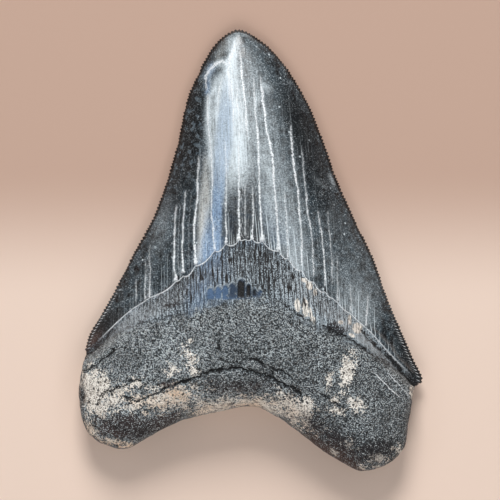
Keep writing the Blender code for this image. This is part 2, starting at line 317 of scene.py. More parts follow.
# Flakes lost from the middle of the neck band: x, y, half width, half height, depth in mm,
# and how black the hollow is.
CHIPS = (
    (-11.06, -12.34, 1.02, 1.6, 0.30, 0.0), (-8.92, -12.08, 0.88, 1.7, 0.35, 0.0),
    (-6.93, -11.97, 0.88, 2.0, 0.40, 0.1), (-4.85, -11.6, 0.95, 2.2, 0.45, 0.65),
    (-2.57, -11.03, 1.08, 2.76, 0.80, 1.0), (-0.43, -11.57, 0.66, 2.0, 0.75, 1.0),
    (1.31, -12.03, 0.52, 1.25, 0.50, 0.95), (2.75, -12.3, 0.6, 1.1, 0.25, 0.5),
)

# The raised line at the right corner: height and half width in mm, then its points.
RIDGE_HEIGHT, RIDGE_HALF = 0.45, 0.9
RIDGE = (
    (34.2, -23.1), (36.2, -24.8), (38.5, -27.4), (40.2, -29.6), (41.6, -31.6), (43.0, -32.8),
    (44.2, -34.2), (45.0, -35.6),
)

# How far the growth of the enamel leans to the left per mm of height, at these x.
LEAN_AT = (-30.0, -12.0, 4.0, 20.0, 33.0)
LEAN = (0.0, 0.0, 0.1, 0.09, 0.0)

# The cutting edge is pulled in fully from this far off its ends. A half width is never less than
# the least one, and distances are worked out for this many points at a time.
PULL_FROM = 8.0
LEAST_HALF = 0.05
BATCH = 4000


def linear(code, alpha=1.0):
    """sRGB hex to linear light."""
    parts = [int(code[at:at + 2], 16) / 255.0 for at in (0, 2, 4)]
    light = [v / 12.92 if v <= 0.04045 else ((v + 0.055) / 1.055) ** 2.4 for v in parts]
    return (*light, alpha)


def part_way(value, low=0.0, high=1.0):
    """The share of the way from low to high, held between 0 and 1."""
    return np.clip((value - low) / (high - low), 0.0, 1.0)


def smoothstep(value, low=0.0, high=1.0):
    """0 at low, 1 at high, and 3s^2 - 2s^3 of the share s between them."""
    share = part_way(value, low, high)
    return share * share * (3.0 - 2.0 * share)


def bell(offset, half):
    """exp(-(offset / half)^2)."""
    return np.exp(-(offset / half) ** 2)


def spline(points, per_span=12):
    """Catmull-Rom curve: the cubic whose slope at each point is half its neighbours' chord."""
    knots = np.array(points)
    knots = np.vstack([2.0 * knots[0] - knots[1], knots, 2.0 * knots[-1] - knots[-2]])
    share = np.linspace(0.0, 1.0, per_span, endpoint=False)[:, None]
    spans = []
    for before, start, end, after in zip(knots, knots[1:], knots[2:], knots[3:]):
        spans.append(0.5 * (
            2.0 * start
            + (end - before) * share
            + (2.0 * before - 5.0 * start + 4.0 * end - after) * share ** 2
            + (3.0 * (start - end) + after - before) * share ** 3
        ))
    return np.vstack(spans + [knots[-2:-1]])


def lengths(curve):
    """How far along the curve each of its points lies."""
    return np.concatenate([[0.0], np.cumsum(np.hypot(*np.diff(curve, axis=0).T))])


def along(curve, count, drift=0.0):
    """count points on the curve from its start up to short of its end.

    Their steps are equal, but for a slow drift of up to this many mm that dies out at both ends."""
    length = lengths(curve)
    place = np.arange(count) / count * length[-1]
    ends = smoothstep(np.minimum(place, length[-1] - place), 0.0, DRIFT_FROM)
    place = place + drift * ends * noise(np.column_stack([place] * 3), *DRIFT_NOISE)
    return np.column_stack([np.interp(place, length, axis) for axis in curve.T])


def pulled_in(curve, distance):
    """The curve moved to its left by this distance, less and less towards its ends."""
    run = np.gradient(curve, axis=0)
    run /= np.hypot(*run.T)[:, None]
    length = lengths(curve)
    share = smoothstep(np.minimum(length, length[-1] - length), 0.0, PULL_FROM)
    return curve + distance * share[:, None] * np.column_stack([-run[:, 1], run[:, 0]])


def inset(points, outline):
    """Distance of each point from the outline, a batch of points at a time."""
    start, run = outline[:-1], np.diff(outline, axis=0)
    square = (run * run).sum(1)
    nearest = []
    for batch in np.array_split(points, len(points) // BATCH + 1):
        to_point = batch[:, None] - start[None]
        share = np.clip((to_point * run).sum(2) / square, 0.0, 1.0)
        gap = to_point - share[..., None] * run
        nearest.append(np.sqrt((gap * gap).sum(2).min(1)))
    return np.concatenate(nearest)


def lattice(cell, seed):
    """A fixed random value from 0 to 1 for each whole-number cell: its x, y and z are mixed."""
    mixed = cell[..., 0] * 374761393 + cell[..., 1] * 668265263 + cell[..., 2] * 2147483647
    mixed = (mixed + seed * 1274126177) & 0xFFFFFFFF
    mixed = ((mixed ^ (mixed >> 13)) * 1274126177) & 0xFFFFFFFF
    return ((mixed ^ (mixed >> 16)) & 0xFFFF) / 65535.0


def noise(points, size, seed):
    """Value noise from -1 to 1 with blobs of this size: cell values blended by smoothstep."""
    place = points / np.array(size)
    cell = np.floor(place).astype(np.int64)
    share = smoothstep(place - cell)
    total = np.zeros(len(points))
    for corner in np.ndindex(2, 2, 2):
        weight = np.prod(np.where(corner, share, 1.0 - share), axis=1)
        total += weight * lattice(cell + np.array(corner), seed)
    return 2.0 * total - 1.0


def noises(points, rows):
    """Sum of value noises, each with its height, the size of its blobs and its seed."""
    return sum(height * noise(points, size, seed) for height, size, seed in rows)


class Shape:
    """The outline and the two smooth faces of the tooth."""

    def __init__(self):
        self.cutting = pulled_in(spline(CUTTING_EDGE), CROWN_INSET)
        self.root = spline(ROOT_EDGE)
        self.outline = np.vstack([self.cutting, self.root[1:]])
        whole = np.vstack([spline(CUTTING_EDGE), self.root])
        self.shift = np.append(-0.5 * (whole.min(0) + whole.max(0)), 0.0)
        self.tip = self.cutting[:, 1].argmax()
        self.enamel_end = spline(ENAMEL_END)

    def across(self, points):
        """Signed share of the way from the crown's middle line to its cutting edge."""
        x, y = points.T
        edge, tip = self.cutting, self.tip
        left = np.interp(y, edge[:tip - 1:-1, 1], edge[:tip - 1:-1, 0])
        right = np.interp(y, edge[:tip + 1, 1], edge[:tip + 1, 0])
        half = np.maximum(0.5 * (right - left), LEAST_HALF)
        return np.clip((x - 0.5 * (right + left)) / half, -1.0, 1.0)

    def below_enamel(self, x, y):
        """How far below the lingual enamel's end a point is, measured down the tooth."""
        return np.interp(x, *self.enamel_end.T) - y

    def below_labial(self, x, y):
        """The same on the labial face, where the enamel ends on a shallow parabola."""
        share = x / HALF_WIDTH
        return LABIAL_END_Y - LABIAL_END_SAG * share ** 2 - LABIAL_END_TILT * share - y

    def lingual(self, points, depth):
        """Crown: edge height plus 1 - |t|^2.2 across and a power of the way up. Root: a quarter
        ellipse in from the outline. Smoothstep over the neck joins them."""
        x, y = points.T
        arch = 1.0 - np.abs(self.across(points)) ** CROWN_ARCH
        up = part_way(y, TIP_Y, PROFILE_FOOT) ** CROWN_TAPER
        crown = cutting_height(y) + CROWN_RISE * up * arch
        top = ROOT_HEIGHT - LOBE_DROP * np.abs(x / HALF_WIDTH) ** LOBE_POWER
        root = ROOT_EDGE_HEIGHT + (top - ROOT_EDGE_HEIGHT) * quarter_round(depth, LINGUAL_ROUND)
        return crown + (root - crown) * smoothstep(self.below_enamel(x, y), 0.0, neck_height(x))

    def labial(self, points, depth):
        """Flat over the middle half, lifting by powers to the cutting edges and the tip."""
        x, y = points.T
        to_side = part_way(np.abs(self.across(points)), FLAT_SHARE)
        to_tip = part_way(y, TIP_LIFT_FROM, TIP_Y)
        crown = cutting_height(y) * (1.0 - (1.0 - to_side ** 2) * (1.0 - to_tip ** TIP_LIFT_POWER))
        lobes = LOBE_LIFT * smoothstep(LOBE_LIFT_FROM - y, 0.0, LOBE_LIFT_OVER)
        root = lobes + (ROOT_EDGE_HEIGHT - lobes) * (1.0 - quarter_round(depth, LABIAL_ROUND))
        blend = smoothstep(self.below_labial(x, y), 0.0, neck_height(HALF_WIDTH))
        return np.maximum(crown + (root - crown) * blend, 0.0)


def quarter_round(depth, radius):
    return np.sqrt(1.0 - (1.0 - part_way(depth, 0.0, radius)) ** 2)


def neck_height(x):
    return NECK_CORNER + (NECK_MIDDLE - NECK_CORNER) / (1.0 + (x / NECK_SPREAD) ** 2) ** NECK_POWER


def cutting_height(y):
    return EDGE_HEIGHT + CORNER_LIFT * smoothstep(TIP_Y - y, 0.0, CORNER_SPAN)


# ---------------------------------------------------------------- the surface's rings

EDGE_INSETS = (0.0, 0.2, 0.45, 0.8, 1.25)
EDGE_STEP = 0.5
MEAN_REACH = 50.0
ROOT_STEP = 0.30
# Each face: its sign, its number of rings and the shares of the way out that halve their points.
FACES = (
    (1, 113, (0.5, 0.25, 0.125, 0.06)),
    (-1, 40, (0.93, 0.46, 0.23, 0.115, 0.06)),
)

# The serrations: how far each one's four points stand out, how many mm their pitch drifts, how
# uneven they are, how much wear takes away and over how many mm they die out inwards.
SERRATION_SHAPE = np.array([-1.0, 0.3, 1.0, 0.3])
DRIFT, UNEVEN, WEAR, BITE_REACH = 0.3, 0.3, 0.75, 0.35
# Size and seed of each of their noises, the range of noise that is worn, and how far off the
# cutting edge's ends the drift is full.
DRIFT_NOISE, UNEVEN_NOISE, WEAR_NOISE = (4.0, 3), (1.0, 5), (5.0, 6)
WORN = (0.35, 0.75)
DRIFT_FROM = 6.0


def ring_plan(rings, halve_at):
    """(share of the way out, halvings) of each ring, from the outline in."""
    plan = [(1.0 - inner / MEAN_REACH, 0) for inner in EDGE_INSETS]
    start = EDGE_INSETS[-1] + EDGE_STEP
    for share in np.linspace(1.0 - start / MEAN_REACH, 0.0, rings, endpoint=False):
        plan.append((share, 1 + sum(share < limit for limit in halve_at)))
    return plan


def thin(columns, crown_count, halvings):
    """The first halving keeps the peak and the notch of each serration and the whole root."""
    if halvings == 0:
        return columns
    kept = np.concatenate([columns[:crown_count:2], columns[crown_count:]])
    return kept[::2 ** (halvings - 1)]


def stitch(outer, outer_at, inner, inner_at):
    """Triangles between two rings, where the inner ring keeps some of the outer's columns."""
    at = np.searchsorted(outer, inner)
    skip = np.diff(np.append(at, len(outer)))
    first, second, third = (outer_at + (at + k) % len(outer) for k in range(3))
    here = inner_at + np.arange(len(inner))
    after = np.roll(here, -1)
    near = np.column_stack([first, second, here])
    far = np.column_stack([second, after, here])
    over = np.column_stack([second, third, after])[skip > 1]
    return np.vstack([near, far, over])


def normals(points, faces):
    """Unit normals: the sum of the cross products of the faces at each vertex."""
    a, b, c = (points[faces[:, k]] for k in range(3))
    cross = np.cross(b - a, c - a)
    total = np.column_stack([
        sum(np.bincount(faces[:, k], cross[:, axis], len(points)) for k in range(3))
        for axis in range(3)
    ])
    return total / np.maximum(np.linalg.norm(total, axis=1, keepdims=True), 1e-12)


class Skin:
    """The ring mesh of the smooth tooth: its vertices, faces, column numbers and side."""

    def __init__(self, shape, pitch, depth):
        hub = np.array(HUB)
        self.crown_count = 4 * round(lengths(shape.cutting)[-1] / pitch)
        root_count = 2 * round(lengths(shape.root)[-1] / ROOT_STEP / 2)
        rim = np.vstack([along(shape.cutting, self.crown_count, DRIFT),
                         along(shape.root, root_count)])
        everything = np.arange(len(rim))
        run = np.roll(rim, -1, axis=0) - np.roll(rim, 1, axis=0)
        outward = np.column_stack([run[:, 1], -run[:, 0]])
        outward /= np.linalg.norm(outward, axis=1, keepdims=True)
        solid = np.column_stack([rim, np.zeros(len(rim))])
        worn = smoothstep(noise(solid, *WEAR_NOISE), *WORN)
        bite = SERRATION_SHAPE[everything % 4] * (everything < self.crown_count)
        bite *= (1.0 + UNEVEN * noise(solid, *UNEVEN_NOISE)) * (1.0 - WEAR * worn) * depth * 0.5

        blocks, columns, sides, faces = [], [], [], []
        count = 0
        for side, rings, halve_at in FACES:
            # Both faces share the outline, which is the first ring of the lingual one.
            outer, outer_at = everything, 0
            plan = ring_plan(rings, halve_at)
            for share, halved in plan if side > 0 else plan[1:]:
                chosen = thin(everything, self.crown_count, halved)
                fade = math.exp(-(1.0 - share) * MEAN_REACH / BITE_REACH)
                ring = hub + share * (rim[chosen] - hub)
                blocks.append(ring + outward[chosen] * bite[chosen, None] * fade)
                columns.append(chosen)
                sides.append(np.full(len(chosen), side))
                if count:
                    faces.append(stitch(outer, outer_at, chosen, count)[:, ::side])
                outer, outer_at = chosen, count
                count += len(chosen)
            here = outer_at + np.arange(len(outer))
            fan = np.column_stack([here, np.roll(here, -1), np.full(len(here), count)])
            faces.append(fan[:, ::side])
            blocks.append(hub[None])
            columns.append(np.array([0]))
            sides.append(np.array([side]))
            count += 1
        self.plan = np.vstack(blocks)
        self.columns = np.concatenate(columns)
        self.lingual = np.concatenate(sides) > 0
        self.faces = np.vstack(faces)
        self.depth = inset(self.plan, shape.outline)
        self.depth[:len(rim)] = 0.0
        height = np.where(self.lingual, shape.lingual(self.plan, self.depth),
                          shape.labial(self.plan, self.depth))
        self.points = np.column_stack([self.plan, height])


# ---------------------------------------------------------------- what lies on the surface

# Crack lines are followed this far. Beyond that their half width is this one and their strength
# is 0. They fade past their ends, away from the line and half-way to a neighbour.
LINE_REACH, LINE_HALF = 2.6, 0.2
LINE_END, LINE_SIDE, LINE_SPLIT = (0.0, 0.9), (1.3, 2.4), (0.0, 0.35)
BAND_FADE = 4.0
SCALLOP_WIDE, SCALLOP_POWER = (0.8, 3.4), 0.8
# Flake scars: how much their tops arch, their soft sides, tops and feet, and their rim: how far
# above the arch it lies, its half width, its soft ends and the depth that hides it.
CHIP_ARCH = 0.9
CHIP_SIDE, CHIP_TOP, CHIP_FOOT = (-0.12, 0.15), (-0.1, 0.15), (-0.3, 0.5)
RIM_AT, RIM_SOFT, RIM_ENDS, RIM_HIDDEN = 0.3, 0.24, (-0.2, 0.2), (0.05, 0.2)
CHIP_SEEN = (0.02, 0.2)


def from_line(points, line):
    """(signed mm off an open line, mm along it, mm past its nearer end) of each point."""
    start, run = line[:-1], np.diff(line, axis=0)
    size = np.hypot(*run.T)
    gap = points[:, None] - start
    share = (gap * run).sum(2) / size ** 2
    foot = gap - np.clip(share, 0.0, 1.0)[..., None] * run
    distance = np.hypot(foot[..., 0], foot[..., 1])
    best = distance.argmin(1)
    rows = np.arange(len(points))
    side = (run[best, 0] * gap[rows, best, 1] - run[best, 1] * gap[rows, best, 0]) / size[best]
    total = lengths(line)
    at = total[best] + share[rows, best] * size[best]
    past = np.maximum(np.maximum(-at, at - total[-1]), 0.0)
    off = np.where(past > 0.0, np.abs(side), distance[rows, best])
    return np.copysign(off, side), np.clip(at, 0.0, total[-1]), past


def stroke(points, line, half):
    """A bell of the distance from an open line."""
    off, _, past = from_line(points, np.array(line))
    return bell(np.hypot(off, past), half)


def nearest_line(points, rows):
    """(signed mm off the nearest line, its half width, its strength) of each point.

    Each row is a half width and a line of x, y and strength."""
    gap, second, offset, width, strength = np.full((5, len(points)), LINE_REACH)
    width[:], strength[:] = LINE_HALF, 0.0
    for size, line in rows:
        line = np.array(line)
        knots = line[:, :2]
        low, high = knots.min(0) - LINE_REACH, knots.max(0) + LINE_REACH
        near = np.flatnonzero(((points > low) & (points < high)).all(1))
        off, at, past = from_line(points[near], knots)
        level = np.interp(at, lengths(knots), line[:, 2]) * (1.0 - smoothstep(past, *LINE_END))
        distance = np.hypot(off, past)
        closer = distance < gap[near]
        second[near] = np.where(closer, gap[near], np.minimum(second[near], distance))
        won = near[closer]
        gap[won], offset[won] = distance[closer], off[closer]
        width[won], strength[won] = size, level[closer]
    strength *= (1.0 - smoothstep(gap, *LINE_SIDE)) * smoothstep(second - gap, *LINE_SPLIT)
    return offset, width, strength


def scallop(x):
    """The enamel's end hangs in a shallow arc between growth cracks: sin of half a turn."""
    feet = np.array(sorted(line[-1][0] for _, line in STREAKS if line[-1][1] < FOOT_Y))
    lane = np.interp(x, feet, np.arange(len(feet)))
    wide = np.append(np.diff(feet), 1.0)[np.floor(lane).astype(int)]
    arc = np.sin(math.pi * (lane % 1.0)) ** SCALLOP_POWER
    return SCALLOP * smoothstep(wide, *SCALLOP_WIDE) * arc


def tones(points):
    """Each tone's bands and scars: strength times exp(-|offset / half width|^power), laid over
    each other."""
    x, y = points.T
    made = {}
    for tone, bands in BANDS.items():
        bare = np.ones(len(x))
        for power, rows in bands:
            at, place, half, strength = np.array(rows)[::-1].T
            level = np.interp(y, at, strength) * smoothstep(y, at[0] - BAND_FADE, at[0])
            level *= 1.0 - smoothstep(y, at[-1], at[-1] + BAND_FADE)
            offset = (x - np.interp(y, at, place)) / np.interp(y, at, half)
            bare *= 1.0 - level * np.exp(-np.abs(offset) ** power)
        for half, strength, line in SCARS[tone]:
            bare *= 1.0 - strength * stroke(points, line, half)
        made[tone] = 1.0 - bare
    return made


def patches(points):
    """Strength of each kind of patch: exp(-r^2 / 2) of the turned ellipse's own radius r."""
    made = {}
    for kind, rows in PATCHES.items():
        made[kind] = np.zeros(len(points))
        for x, y, half_x, half_y, turn, strength in rows:
            cos, sin = math.cos(math.radians(turn)), math.sin(math.radians(turn))
            dx, dy = points[:, 0] - x, points[:, 1] - y
            square = ((dx * cos + dy * sin) / half_x) ** 2 + ((dy * cos - dx * sin) / half_y) ** 2
            made[kind] = np.maximum(made[kind], strength * np.exp(-0.5 * square))
    return made


def chips(points):
    """(depth in mm, blackness, rim) of the flakes: an arch-topped box with soft sides.

    The rim is a bell of the height over the arch."""
    depth, black, rim = np.zeros((3, len(points)))
    for x, y, half_x, half_y, deep, soot in CHIPS:
        across = np.abs(points[:, 0] - x)
        over = points[:, 1] - y - half_y + CHIP_ARCH * half_x * (across / half_x) ** 2
        inside = smoothstep(half_x - across, *CHIP_SIDE) * smoothstep(-over, *CHIP_TOP)
        inside *= smoothstep(half_y + points[:, 1] - y, *CHIP_FOOT)
        depth = np.maximum(depth, deep * inside)
        black = np.maximum(black, soot * inside)
        ends = smoothstep(half_x + RIM_AT - across, *RIM_ENDS)
        rim = np.maximum(rim, bell(over - RIM_AT, RIM_SOFT) * ends)
    return depth, black, rim * (1.0 - smoothstep(depth, *RIM_HIDDEN))


# ---------------------------------------------------------------- the relief

# The crown ends over these mm below the enamel's end, and the root starts over these shares of
# the neck's height. Neither neck is ever lower than the least one.
CROWN_END, ROOT_START = (-0.15, 0.3), (0.85, 1.1)
LEAST_NECK = 0.8
# The rim along the enamel's end: share of the enamel's step, and half width.
STEP_RIM, STEP_RIM_HALF = 0.35, 0.4
# Noises, each with its height, the size of its blobs and its seed: grooves of the neck, soft
# flutes of the crown, lumps of the root, and the root's pits, of which the hollows stay below a
# limit.
GROOVES = ((1.0, (0.55, 3.4, 3.4), 11), (0.6, (0.34, 2.0, 2.0), 12))
FLUTES = ((0.06, (1.8, 30.0, 1.0), 13),)
LUMPS = ((0.30, 7.0, 21), (0.22, 3.1, 22))
HOLLOWS, HOLLOW_LIMIT = ((1.0, 1.3, 23),), -0.25
PORES = ((0.5, 0.75, 24),)
FLUTE_DEPTH = (0.5, 4.0)
LUMPS_ON_NECK = 0.25
CHIP_RIM = 0.22
# Cracks are cut this many times their half width wide, and never narrower than the least.
CRACK_SPREAD, CRACK_LEAST = 1.3, 0.35
RIDGE_DEPTH = (0.2, 1.5)
# The fold where neck and root meet: depth, half width, where it grows to the right and to the
# left, and its share on the left.
FOLD, FOLD_HALF = 0.3, 0.9
FOLD_RIGHT, FOLD_LEFT, FOLD_LEFT_SHARE = (8.0, 20.0), (14.0, 26.0), 0.3
# The recess under the blade's corners: depth, how far below the enamel's end, half width, where
# it grows and how it ends at the outline.
RECESS, RECESS_AT, RECESS_HALF = 0.7, 0.9, 0.8
RECESS_X, RECESS_DEPTH = (34.0, 44.0), (0.3, 1.2)
# How dark the fold's painted shade is, against the recess's.
FOLD_SHADE = 0.7
# Ribs of the serrations: heights of a rib's four columns, how far they reach in, where down the
# edge that grows, and their share on the labial face. Then for the left and for the right: how
# much the reach grows, where the painted glints on the ribs and the painted shade in their notches
# start, and how strong they are.
RIB_SHAPE = np.array([-1.0, 0.0, 1.0, 0.0])
RIB_REACH, RIB_DEPTH, RIB_GROWS, RIB_LABIAL = 0.5, (0.1, 0.5), (-5.0, 25.0), 0.6
RIB_SIDES = np.array([(0.15, 0.6), (6.0, 14.0), (1.0, 0.55)])
RIB_GLINT_OVER = 10.0
# How the white cracks widen towards the enamel's end, and on what height of neck it is scalloped.
FLARE, FLARE_OVER = 1.9, (-3.0, -0.2)
SCALLOP_NECK = (5.0, 11.0)


def relief(skin, sizes, marks):
    """How far each vertex moves along its normal, in mm: the sum of these features.

    Enamel step and rim at its end, neck grooves, crown flutes, lost flakes, root pits and lumps,
    cracks and ridges, the fold below the neck, the recess under the blade's corners and the
    serration ribs. What the finish needs of them is added to the marks."""
    x, y = skin.plan.T
    points, depth, lingual = skin.points, skin.depth, skin.lingual
    below, span = marks["below"], marks["neck_span"]
    crown = 1.0 - smoothstep(below, *CROWN_END)
    root = smoothstep(below / span, *ROOT_START)
    neck = (1.0 - crown) * (1.0 - root) * lingual
    rise = sizes["enamel"] * (crown + STEP_RIM * bell(below, STEP_RIM_HALF) * lingual)

    marks["groove"] = noises(points, GROOVES)
    rise += sizes["groove"] * marks["groove"] * neck
    flow = np.column_stack([marks["across"], y, np.zeros(len(y))])
    rise += noises(flow, FLUTES) * crown * smoothstep(depth, *FLUTE_DEPTH)
    rise += (CHIP_RIM * marks["chip_rim"] - marks["chip_depth"]) * neck

    hollows = np.minimum(noises(points, HOLLOWS) - HOLLOW_LIMIT, 0.0)
    marks["pit"] = hollows + noises(points, PORES)
    lumps = noises(points, LUMPS) + sizes["pit"] * marks["pit"]
    rise += lumps * (root + LUMPS_ON_NECK * neck * (1.0 - marks["chip"]))

    cut = bell(marks["gap"], np.maximum(CRACK_SPREAD * marks["half"], CRACK_LEAST))
    rise -= sizes["crack"] * cut * marks["open"] * smoothstep(below)
    ridge = RIDGE_HEIGHT * stroke(skin.plan, RIDGE, RIDGE_HALF)
    rise += ridge * lingual * smoothstep(depth, *RIDGE_DEPTH)

    fold = bell(below - span, FOLD_HALF) * lingual
    fold *= smoothstep(x, *FOLD_RIGHT) + FOLD_LEFT_SHARE * smoothstep(-x, *FOLD_LEFT)
    recess = bell(below - RECESS_AT, RECESS_HALF) * smoothstep(np.abs(x), *RECESS_X) * lingual
    rise -= FOLD * fold + RECESS * recess * smoothstep(depth, *RECESS_DEPTH)
    # Painted shade: the finish darkens the fold and the recess with the recess colour.
    marks["grime"] = np.maximum(FOLD_SHADE * fold, recess)

    growth, first, tone = RIB_SIDES[:, (x > 0.0).astype(int)]
    reach = RIB_REACH + growth * smoothstep(-y, *RIB_GROWS)
    rib = RIB_SHAPE[skin.columns % 4] * (skin.columns < skin.crown_count)
    rib *= bell(depth, reach) * smoothstep(depth, *RIB_DEPTH)
    rise += sizes["rib"] * rib * np.where(lingual, 1.0, RIB_LABIAL)
    # For the finish: painted glints on the ribs (above 0) and painted shade in their notches (below
    # 0), towards the corners.
    marks["rib"] = rib * smoothstep(-y, first, first + RIB_GLINT_OVER) * tone
    return rise


def surface_marks(skin, shape):
    """The fields that both the relief and the finish follow, each one value per vertex."""
    x, y = skin.plan.T
    lingual = skin.lingual
    neck_end = np.interp(x, *spline(NECK_END).T)
    span = np.maximum(shape.below_enamel(x, neck_end), LEAST_NECK)
    under = shape.below_enamel(x, y) - scallop(x) * smoothstep(span, *SCALLOP_NECK)
    below = np.where(lingual, under, shape.below_labial(x, y))
    span = np.where(lingual, span, LEAST_NECK)
    offset, width, light = nearest_line(skin.plan, STREAKS)
    cracks = [(half, [(*knot, depth) for knot in line]) for half, depth, line in LINES]
    gap, half, opened = nearest_line(skin.plan, cracks)
    chip_depth, black, chip_rim = chips(skin.plan)
    made = {
        "below": below,
        "neck_span": span,
        "neck_share": below / span,
        "lingual": lingual,
        "across": x + y * np.interp(x, LEAN_AT, LEAN),
        "along": y,
        "depth": skin.depth,
        "offset": offset,
        "light": light * lingual,
        "width": width * (1.0 + FLARE * smoothstep(below, *FLARE_OVER) ** 2),
        "gap": gap,
        "half": half,
        "open": opened * lingual,
        "chip_depth": chip_depth * lingual,
        "chip": smoothstep(chip_depth, *CHIP_SEEN) * lingual,
        "black": black,
        "chip_rim": chip_rim * lingual,
        **patches(skin.plan),
    }
    for tone, strength in tones(skin.plan).items():
        made[tone] = strength * lingual
    return made


# What each vertex attribute holds.
FIELDS = {
    "tissue": ("below", "neck_share", "lingual"),
    "streak": ("offset", "light", "width"),
    "tone": ("pale", "blue", "cream"),
    "shade": ("dark", "rib", "grime"),
    "patch": ("bone", "soot", "warm"),
    "crack": ("gap", "half", "open"),
    "ground": ("groove", "pit", "chip"),
    "hollow": ("black", "chip_rim", "flake"),
    "flow": ("across", "along", "depth"),
}


def tooth_mesh(sizes):
    shape = Shape()
    skin = Skin(shape, sizes["pitch"], sizes["bite"])
    marks = surface_marks(skin, shape)
    rise = relief(skin, sizes, marks)
    points = skin.points + normals(skin.points, skin.faces) * rise[:, None]
    points[~skin.lingual, 2] = np.maximum(points[~skin.lingual, 2], 0.0)
    points += shape.shift
    mesh = bpy.data.meshes.new(NODE)
    mesh.vertices.add(len(points))
    mesh.vertices.foreach_set("co", (points * MM).ravel())
    mesh.loops.add(skin.faces.size)
    mesh.loops.foreach_set("vertex_index", skin.faces.ravel())
    mesh.polygons.add(len(skin.faces))
    mesh.polygons.foreach_set("loop_start", np.arange(0, skin.faces.size, 3))
    mesh.update(calc_edges=True)
    mesh.validate()
    mesh.shade_smooth()
    for name, parts in FIELDS.items():
        data = np.column_stack([marks[part] for part in parts]).astype(np.float32)
        made = mesh.attributes.new(name, "FLOAT_VECTOR", "POINT")
        made.data.foreach_set("vector", data.ravel())
    return mesh


# ---------------------------------------------------------------- the finish

# Noise fields: whether they run with the growth cracks, size in mm across and along, detail,
# roughness. The root's finest grain is drawn at 0.33 mm, coarser than it is, so that it shows.
NOISES = {
    "grit": (False, 0.33, 0.33, 0.0, 0.5),
    "fine": (False, 0.50, 0.50, 2.5, 0.7),
    "blotch": (False, 1.7, 1.7, 3.0, 0.6),
    "medium": (False, 2.2, 2.2, 4.0, 0.65),
    "broad": (False, 7.0, 7.0, 3.0, 0.6),
    "brush": (True, 0.55, 8.0, 3.0, 0.6),
    "hair": (True, 0.42, 22.0, 2.0, 0.5),
    "wave": (True, 2.5, 4.5, 2.0, 0.5),
    "comb": (False, 0.34, 2.4, 1.0, 0.5),
    "slots": (False, 0.40, 4.4, 1.0, 0.5),
}

# Scattered cells: whether they run with the growth cracks, and their spacing in mm. Tassels are
# hairs that stand on the enamel's end. The neck's slits are the borders of such cells.
CELLS = {"tassel": (True, 0.8), "dot": (False, 3.0), "pore": (False, 1.5)}
SLITS_PER_MM = 0.85

